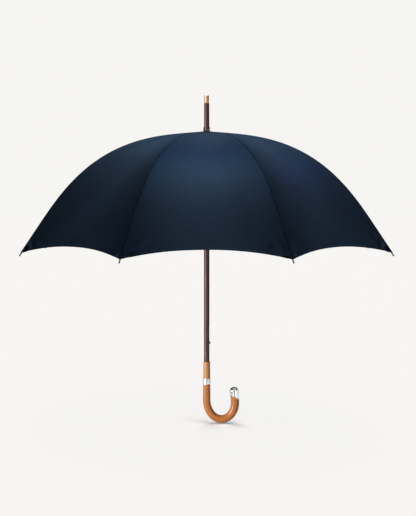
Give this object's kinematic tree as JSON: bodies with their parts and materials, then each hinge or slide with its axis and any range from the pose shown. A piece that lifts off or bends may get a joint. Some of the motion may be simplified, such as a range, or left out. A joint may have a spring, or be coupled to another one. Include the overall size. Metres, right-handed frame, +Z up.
{
  "type": "stick umbrella",
  "caption": "Open stick umbrella with a crook handle, a sprung rib frame that folds with its runner, and a domed cloth canopy.",
  "frame": {"origin": "on the shaft's axis, in the middle of the handle's straight grip", "axes": "+Z up the shaft to the tip, +X the way the crook opens"},
  "size_m": [0.9592, 0.9592, 0.9066],
  "materials": {
    "navy_cloth": "satin",
    "dark_wood": "gloss",
    "tan_wood": "gloss",
    "brass": "satin",
    "silver": "polished",
    "black_steel": "semi-gloss",
    "bright_steel": "satin"
  },
  "bodies": {
    "frame": {"shaft": "dark_wood", "crook_handle": "tan_wood", "handle_collar": "silver", "nose_cap": "silver", "ferrule_tip": "brass", "apex_collar": "dark_wood", "apex_rosette": "navy_cloth", "top_notch": "black_steel", "top_notch_wire": "bright_steel", "top_notch_pin": "bright_steel", "top_spring_pin": "bright_steel", "hand_spring_pin": "bright_steel", "stop_pin": "bright_steel"},
    "runner": {"runner_sleeve": "black_steel", "runner_notch": "black_steel", "runner_wire": "bright_steel"},
    "top_catch": {"top_spring": "bright_steel"},
    "hand_catch": {"hand_spring": "bright_steel"},
    "rib_1": {"rib_1_inner": "black_steel", "canopy_gore_1": "navy_cloth"},
    "rib_1_end": {"rib_1_outer": "black_steel", "tip_1": "black_steel"},
    "stretcher_1": {"stretcher_1": "black_steel"},
    "rib_2": {"rib_2_inner": "black_steel", "canopy_gore_2": "navy_cloth"},
    "rib_2_end": {"rib_2_outer": "black_steel", "tip_2": "black_steel", "tie_strap": "navy_cloth", "tie_button": "bright_steel"},
    "stretcher_2": {"stretcher_2": "black_steel"},
    "rib_3": {"rib_3_inner": "black_steel", "canopy_gore_3": "navy_cloth"},
    "rib_3_end": {"rib_3_outer": "black_steel", "tip_3": "black_steel"},
    "stretcher_3": {"stretcher_3": "black_steel"},
    "rib_4": {"rib_4_inner": "black_steel", "canopy_gore_4": "navy_cloth"},
    "rib_4_end": {"rib_4_outer": "black_steel", "tip_4": "black_steel"},
    "stretcher_4": {"stretcher_4": "black_steel"},
    "rib_5": {"rib_5_inner": "black_steel", "canopy_gore_5": "navy_cloth"},
    "rib_5_end": {"rib_5_outer": "black_steel", "tip_5": "black_steel"},
    "stretcher_5": {"stretcher_5": "black_steel"},
    "rib_6": {"rib_6_inner": "black_steel", "canopy_gore_6": "navy_cloth"},
    "rib_6_end": {"rib_6_outer": "black_steel", "tip_6": "black_steel"},
    "stretcher_6": {"stretcher_6": "black_steel"},
    "rib_7": {"rib_7_inner": "black_steel", "canopy_gore_7": "navy_cloth"},
    "rib_7_end": {"rib_7_outer": "black_steel", "tip_7": "black_steel"},
    "stretcher_7": {"stretcher_7": "black_steel"},
    "rib_8": {"rib_8_inner": "black_steel", "canopy_gore_8": "navy_cloth"},
    "rib_8_end": {"rib_8_outer": "black_steel", "tip_8": "black_steel"},
    "stretcher_8": {"stretcher_8": "black_steel"}
  },
  "joints": [
    {"name": "canopy_fold", "type": "hinge", "parent": "frame", "child": "rib_1", "pos_m": [0.01155, 0.00478, 0.6855], "axis": [-0.3827, 0.9239, 0], "range_deg": [0, 75.06], "deforming": ["canopy_gore_1", "canopy_gore_2", "canopy_gore_3", "canopy_gore_4", "canopy_gore_5", "canopy_gore_6", "canopy_gore_7", "canopy_gore_8", "top_spring", "hand_spring"]},
    {"name": "rib_2_fold", "type": "hinge", "parent": "frame", "child": "rib_2", "pos_m": [0.00478, 0.01155, 0.6855], "axis": [-0.9239, 0.3827, 0], "range_deg": [0, 75.16]},
    {"name": "rib_3_fold", "type": "hinge", "parent": "frame", "child": "rib_3", "pos_m": [-0.00478, 0.01155, 0.6855], "axis": [-0.9239, -0.3827, 0], "range_deg": [0, 75.16]},
    {"name": "rib_4_fold", "type": "hinge", "parent": "frame", "child": "rib_4", "pos_m": [-0.01155, 0.00478, 0.6855], "axis": [-0.3827, -0.9239, 0], "range_deg": [0, 75.16]},
    {"name": "rib_5_fold", "type": "hinge", "parent": "frame", "child": "rib_5", "pos_m": [-0.01155, -0.00478, 0.6855], "axis": [0.3827, -0.9239, 0], "range_deg": [0, 75.16]},
    {"name": "rib_6_fold", "type": "hinge", "parent": "frame", "child": "rib_6", "pos_m": [-0.00478, -0.01155, 0.6855], "axis": [0.9239, -0.3827, 0], "range_deg": [0, 75.16]},
    {"name": "rib_7_fold", "type": "hinge", "parent": "frame", "child": "rib_7", "pos_m": [0.00478, -0.01155, 0.6855], "axis": [0.9239, 0.3827, 0], "range_deg": [0, 75.16]},
    {"name": "rib_8_fold", "type": "hinge", "parent": "frame", "child": "rib_8", "pos_m": [0.01155, -0.00478, 0.6855], "axis": [0.3827, 0.9239, 0], "range_deg": [0, 75.16]},
    {"name": "rib_1_flex", "type": "hinge", "parent": "rib_1", "child": "rib_1_end", "pos_m": [0.25358, 0.10504, 0.62668], "axis": [-0.3827, 0.9239, 0], "range_deg": [-33.13, 0]},
    {"name": "rib_2_flex", "type": "hinge", "parent": "rib_2", "child": "rib_2_end", "pos_m": [0.10504, 0.25358, 0.62668], "axis": [-0.9239, 0.3827, 0], "range_deg": [-33.13, 0]},
    {"name": "rib_3_flex", "type": "hinge", "parent": "rib_3", "child": "rib_3_end", "pos_m": [-0.10504, 0.25358, 0.62668], "axis": [-0.9239, -0.3827, 0], "range_deg": [-33.13, 0]},
    {"name": "rib_4_flex", "type": "hinge", "parent": "rib_4", "child": "rib_4_end", "pos_m": [-0.25358, 0.10504, 0.62668], "axis": [-0.3827, -0.9239, 0], "range_deg": [-33.13, 0]},
    {"name": "rib_5_flex", "type": "hinge", "parent": "rib_5", "child": "rib_5_end", "pos_m": [-0.25358, -0.10504, 0.62668], "axis": [0.3827, -0.9239, 0], "range_deg": [-33.13, 0]},
    {"name": "rib_6_flex", "type": "hinge", "parent": "rib_6", "child": "rib_6_end", "pos_m": [-0.10504, -0.25358, 0.62668], "axis": [0.9239, -0.3827, 0], "range_deg": [-33.13, 0]},
    {"name": "rib_7_flex", "type": "hinge", "parent": "rib_7", "child": "rib_7_end", "pos_m": [0.10504, -0.25358, 0.62668], "axis": [0.9239, 0.3827, 0], "range_deg": [-33.13, 0]},
    {"name": "rib_8_flex", "type": "hinge", "parent": "rib_8", "child": "rib_8_end", "pos_m": [0.25358, -0.10504, 0.62668], "axis": [0.3827, 0.9239, 0], "range_deg": [-33.13, 0]},
    {"name": "stretcher_1_turn", "type": "hinge", "parent": "rib_1", "child": "stretcher_1", "pos_m": [0.24952, 0.10335, 0.62301], "axis": [-0.3827, 0.9239, 0], "range_deg": [-150.22, 0]},
    {"name": "stretcher_2_turn", "type": "hinge", "parent": "rib_2", "child": "stretcher_2", "pos_m": [0.10335, 0.24952, 0.62301], "axis": [-0.9239, 0.3827, 0], "range_deg": [-150.22, 0]},
    {"name": "stretcher_3_turn", "type": "hinge", "parent": "rib_3", "child": "stretcher_3", "pos_m": [-0.10335, 0.24952, 0.62301], "axis": [-0.9239, -0.3827, 0], "range_deg": [-150.22, 0]},
    {"name": "stretcher_4_turn", "type": "hinge", "parent": "rib_4", "child": "stretcher_4", "pos_m": [-0.24952, 0.10335, 0.62301], "axis": [-0.3827, -0.9239, 0], "range_deg": [-150.22, 0]},
    {"name": "stretcher_5_turn", "type": "hinge", "parent": "rib_5", "child": "stretcher_5", "pos_m": [-0.24952, -0.10335, 0.62301], "axis": [0.3827, -0.9239, 0], "range_deg": [-150.22, 0]},
    {"name": "stretcher_6_turn", "type": "hinge", "parent": "rib_6", "child": "stretcher_6", "pos_m": [-0.10335, -0.24952, 0.62301], "axis": [0.9239, -0.3827, 0], "range_deg": [-150.22, 0]},
    {"name": "stretcher_7_turn", "type": "hinge", "parent": "rib_7", "child": "stretcher_7", "pos_m": [0.10335, -0.24952, 0.62301], "axis": [0.9239, 0.3827, 0], "range_deg": [-150.22, 0]},
    {"name": "stretcher_8_turn", "type": "hinge", "parent": "rib_8", "child": "stretcher_8", "pos_m": [0.24952, -0.10335, 0.62301], "axis": [0.3827, 0.9239, 0], "range_deg": [-150.22, 0]},
    {"name": "runner_travel", "type": "hinge", "parent": "stretcher_1", "child": "runner", "pos_m": [0.01155, 0.00478, 0.56053], "axis": [-0.3827, 0.9239, 0], "range_deg": [0, 75.16]},
    {"name": "top_catch_press", "type": "hinge", "parent": "frame", "child": "top_catch", "pos_m": [0.004, 0, 0.44623], "axis": [0, -1, 0], "range_deg": [0, 4.2], "stiffness_Nm_per_rad": 0.5},
    {"name": "hand_catch_press", "type": "hinge", "parent": "frame", "child": "hand_catch", "pos_m": [0.004, 0, 0.15185], "axis": [0, 1, 0], "range_deg": [0, 4.2], "stiffness_Nm_per_rad": 0.5}
  ],
  "couplings": [
    {"joint": "rib_2_fold", "follows": "canopy_fold", "ratio": 1},
    {"joint": "rib_3_fold", "follows": "canopy_fold", "ratio": 1},
    {"joint": "rib_4_fold", "follows": "canopy_fold", "ratio": 1},
    {"joint": "rib_5_fold", "follows": "canopy_fold", "ratio": 1},
    {"joint": "rib_6_fold", "follows": "canopy_fold", "ratio": 1},
    {"joint": "rib_7_fold", "follows": "canopy_fold", "ratio": 1},
    {"joint": "rib_8_fold", "follows": "canopy_fold", "ratio": 1},
    {"joint": "rib_1_flex", "follows": "canopy_fold", "ratio": -0.44},
    {"joint": "rib_2_flex", "follows": "canopy_fold", "ratio": -0.44},
    {"joint": "rib_3_flex", "follows": "canopy_fold", "ratio": -0.44},
    {"joint": "rib_4_flex", "follows": "canopy_fold", "ratio": -0.44},
    {"joint": "rib_5_flex", "follows": "canopy_fold", "ratio": -0.44},
    {"joint": "rib_6_flex", "follows": "canopy_fold", "ratio": -0.44},
    {"joint": "rib_7_flex", "follows": "canopy_fold", "ratio": -0.44},
    {"joint": "rib_8_flex", "follows": "canopy_fold", "ratio": -0.44},
    {"joint": "stretcher_1_turn", "follows": "canopy_fold", "ratio": -2},
    {"joint": "stretcher_2_turn", "follows": "canopy_fold", "ratio": -2},
    {"joint": "stretcher_3_turn", "follows": "canopy_fold", "ratio": -2},
    {"joint": "stretcher_4_turn", "follows": "canopy_fold", "ratio": -2},
    {"joint": "stretcher_5_turn", "follows": "canopy_fold", "ratio": -2},
    {"joint": "stretcher_6_turn", "follows": "canopy_fold", "ratio": -2},
    {"joint": "stretcher_7_turn", "follows": "canopy_fold", "ratio": -2},
    {"joint": "stretcher_8_turn", "follows": "canopy_fold", "ratio": -2},
    {"joint": "runner_travel", "follows": "canopy_fold", "ratio": 1}
  ]
}
